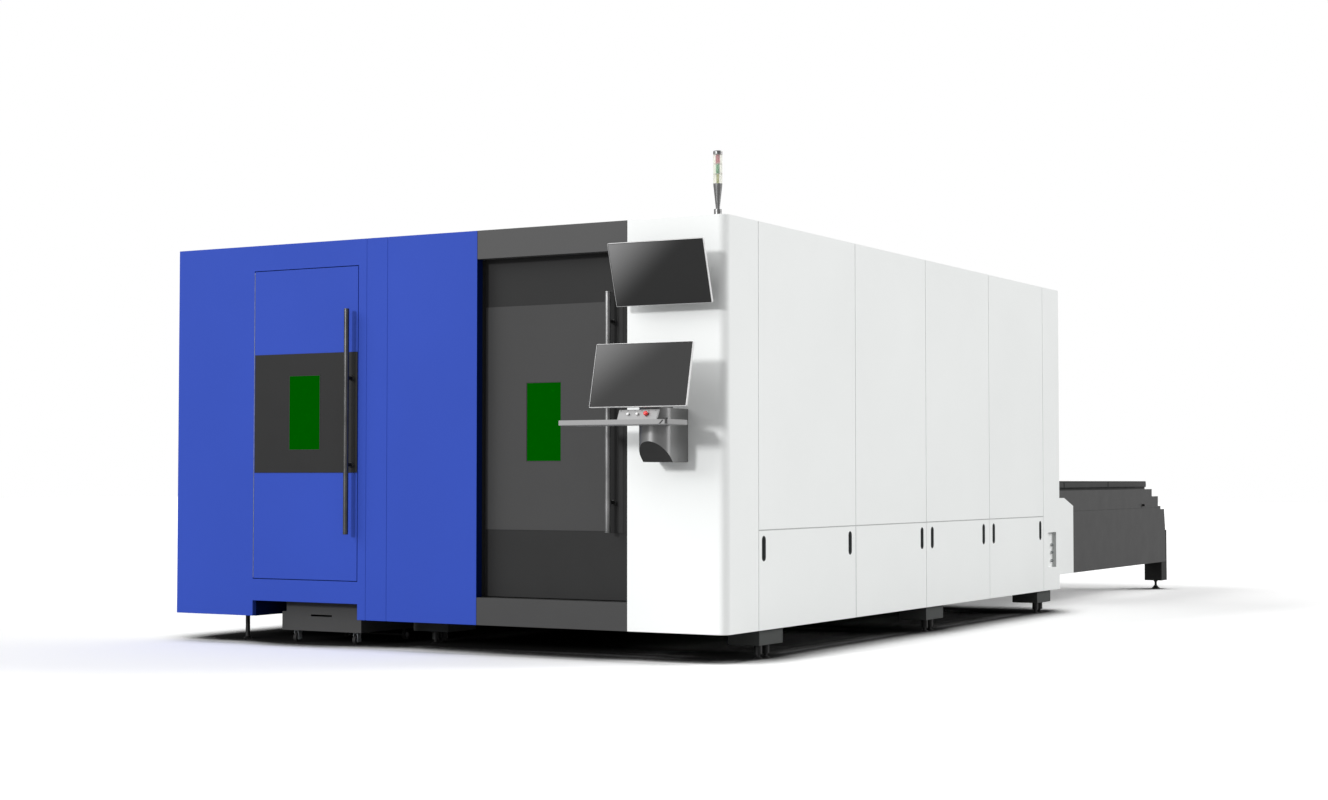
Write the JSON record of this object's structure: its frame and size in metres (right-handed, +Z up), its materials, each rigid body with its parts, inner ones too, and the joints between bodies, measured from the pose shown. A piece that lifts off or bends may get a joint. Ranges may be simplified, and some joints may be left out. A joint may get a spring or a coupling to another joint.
{
  "type": "fiber laser cutting machine",
  "caption": "Enclosed flatbed laser cutter with a closed cabin, sliding front door, operator console, inner gantry and a two-level pallet exchange table behind it.",
  "frame": {"origin": "middle of the machine's footprint at floor level", "axes": "+Z up; +Y from the operator's front towards the exchange table at the rear; +X to the right as seen by the operator who faces the front"},
  "size_m": [3.48, 8.334, 2.49],
  "materials": {
    "aluminium": "anodised",
    "bare_steel": "ground steel",
    "black_paint": "satin black powder coat",
    "black_plastic": "black plastic",
    "blue_paint": "satin blue powder coat",
    "console_paint": "satin grey powder coat",
    "dark_paint": "satin dark grey powder coat",
    "frame_paint": "matt grey paint",
    "green_glass": "dark green laser-safety window",
    "handle_steel": "brushed bar",
    "lamp_lens": "stacked coloured lamp lenses",
    "red_button": "red mushroom button",
    "screen_plastic": "dark plastic housing with light rim",
    "slat_steel": "mill-scale steel strip",
    "table_paint": "satin mid grey powder coat",
    "wheel_rubber": "solid rubber tread",
    "white_button": "white push button",
    "white_paint": "satin white powder coat",
    "zinc_steel": "zinc-plated"
  },
  "bodies": {
    "machine": {"bed_frame": "frame_paint", "levelling_feet": "zinc_steel", "gantry_rails": "bare_steel", "pallet_tracks": "bare_steel", "scrap_chute": "bare_steel", "cabin_frame": "frame_paint", "wing_front_panel": "blue_paint", "front_blue_panels": "blue_paint", "header_panel": "dark_paint", "door_sill": "dark_paint", "corner_column": "white_paint", "side_upper_panels": "white_paint", "side_rear_panel": "white_paint", "left_rear_walls": "white_paint", "roof_panels": "white_paint", "cart_bay_liner": "blue_paint", "electrical_cabinet": "console_paint", "laser_source": "white_paint", "door_track": "bare_steel", "hinge_pins": "zinc_steel", "rear_cowls": "white_paint", "table_frame": "black_paint", "table_skins": "table_paint", "exchange_drive": "dark_paint", "console_housing": "console_paint", "keyboard_tray": "console_paint", "button_panel": "console_paint", "monitor_arms": "dark_paint", "tower_light_body": "black_plastic", "tower_light_lenses": "lamp_lens"},
    "front_door": {"front_door_leaf": "dark_paint", "front_door_window": "green_glass", "front_door_handle": "handle_steel"},
    "wing_door": {"wing_door_leaf": "blue_paint", "wing_window_panel": "dark_paint", "wing_door_window": "green_glass", "wing_door_handle": "handle_steel"},
    "lower_cover_front": {"lower_cover_front": "white_paint"},
    "access_door": {"access_door": "white_paint"},
    "lower_cover_middle": {"lower_cover_middle": "white_paint"},
    "lower_cover_rear": {"lower_cover_rear": "white_paint"},
    "upper_monitor": {"upper_monitor": "screen_plastic"},
    "lower_monitor": {"lower_monitor": "screen_plastic"},
    "push_button_left": {"push_button_left": "white_button"},
    "push_button_right": {"push_button_right": "white_button"},
    "emergency_stop": {"emergency_stop": "red_button"},
    "cart": {"cart_tub": "dark_paint"},
    "cart_rear_wheels": {"cart_rear_wheels": "wheel_rubber"},
    "cart_fork_left": {"cart_fork_left": "zinc_steel"},
    "cart_fork_right": {"cart_fork_right": "zinc_steel"},
    "cart_wheel_left": {"cart_wheel_left": "wheel_rubber"},
    "cart_wheel_right": {"cart_wheel_right": "wheel_rubber"},
    "gantry": {"gantry_beam": "aluminium", "gantry_ends": "dark_paint"},
    "head_carriage": {"head_carriage": "aluminium"},
    "cutting_head": {"cutting_head": "aluminium"},
    "upper_pallet": {"upper_pallet_frame": "table_paint", "upper_pallet_slats": "slat_steel"},
    "lower_pallet": {"lower_pallet_frame": "table_paint", "lower_pallet_slats": "slat_steel"}
  },
  "joints": [
    {"name": "front_door_slide", "type": "slide", "parent": "machine", "child": "front_door", "axis": [-1, 0, 0], "range_m": [0, 0.68]},
    {"name": "wing_door_hinge", "type": "hinge", "parent": "machine", "child": "wing_door", "pos_m": [-1.19, -3.786, 0.347], "axis": [0, 0, -1], "range_deg": [0, 105]},
    {"name": "access_door_hinge", "type": "hinge", "parent": "machine", "child": "access_door", "pos_m": [1.7385, -2.28, 0.145], "axis": [0, 0, -1], "range_deg": [0, 90]},
    {"name": "lower_cover_front_slide", "type": "slide", "parent": "machine", "child": "lower_cover_front", "axis": [1, 0, 0], "range_m": [0, 0.2]},
    {"name": "lower_cover_middle_slide", "type": "slide", "parent": "machine", "child": "lower_cover_middle", "axis": [1, 0, 0], "range_m": [0, 0.2]},
    {"name": "lower_cover_rear_slide", "type": "slide", "parent": "machine", "child": "lower_cover_rear", "axis": [1, 0, 0], "range_m": [0, 0.2]},
    {"name": "upper_monitor_tilt", "type": "hinge", "parent": "machine", "child": "upper_monitor", "pos_m": [1.451, -3.87889, 1.90432], "axis": [1, 0, 0], "range_deg": [-15, 15]},
    {"name": "lower_monitor_tilt", "type": "hinge", "parent": "machine", "child": "lower_monitor", "pos_m": [1.451, -4.05494, 1.37821], "axis": [1, 0, 0], "range_deg": [-15, 5]},
    {"name": "push_button_left_press", "type": "slide", "parent": "machine", "child": "push_button_left", "axis": [0, 0.9057, -0.4239], "range_m": [0, 0.003], "stiffness_N_per_m": 600, "springref_m": -0.001},
    {"name": "push_button_right_press", "type": "slide", "parent": "machine", "child": "push_button_right", "axis": [0, 0.9057, -0.4239], "range_m": [0, 0.003], "stiffness_N_per_m": 600, "springref_m": -0.001},
    {"name": "emergency_stop_press", "type": "slide", "parent": "machine", "child": "emergency_stop", "axis": [0, 0.9057, -0.4239], "range_m": [0, 0.005], "stiffness_N_per_m": 1200, "springref_m": -0.001},
    {"name": "cart_slide", "type": "slide", "parent": "machine", "child": "cart", "axis": [0, -1, 0], "range_m": [0, 0.65]},
    {"name": "cart_rear_wheels_spin", "type": "hinge", "parent": "cart", "child": "cart_rear_wheels", "pos_m": [-0.803, -3.187, 0.025], "axis": [1, 0, 0], "continuous": true},
    {"name": "cart_fork_left_swivel", "type": "hinge", "parent": "cart", "child": "cart_fork_left", "pos_m": [-1.006, -3.611, 0.06], "axis": [0, 0, 1], "continuous": true},
    {"name": "cart_fork_right_swivel", "type": "hinge", "parent": "cart", "child": "cart_fork_right", "pos_m": [-0.6, -3.611, 0.06], "axis": [0, 0, 1], "continuous": true},
    {"name": "cart_wheel_left_spin", "type": "hinge", "parent": "cart_fork_left", "child": "cart_wheel_left", "pos_m": [-1.006, -3.629, 0.025], "axis": [1, 0, 0], "continuous": true},
    {"name": "cart_wheel_right_spin", "type": "hinge", "parent": "cart_fork_right", "child": "cart_wheel_right", "pos_m": [-0.6, -3.629, 0.025], "axis": [1, 0, 0], "continuous": true},
    {"name": "gantry_slide", "type": "slide", "parent": "machine", "child": "gantry", "axis": [0, 1, 0], "range_m": [0, 3.1]},
    {"name": "carriage_slide", "type": "slide", "parent": "gantry", "child": "head_carriage", "axis": [-1, 0, 0], "range_m": [0, 1.4]},
    {"name": "head_slide", "type": "slide", "parent": "head_carriage", "child": "cutting_head", "axis": [0, 0, 1], "range_m": [-0.25, 0]},
    {"name": "upper_pallet_slide", "type": "slide", "parent": "machine", "child": "upper_pallet", "axis": [0, -1, 0], "range_m": [0, 3.48]},
    {"name": "lower_pallet_slide", "type": "slide", "parent": "machine", "child": "lower_pallet", "axis": [0, 1, 0], "range_m": [0, 3.48]}
  ],
  "couplings": [
    {"joint": "lower_pallet_slide", "follows": "upper_pallet_slide", "ratio": 1}
  ]
}
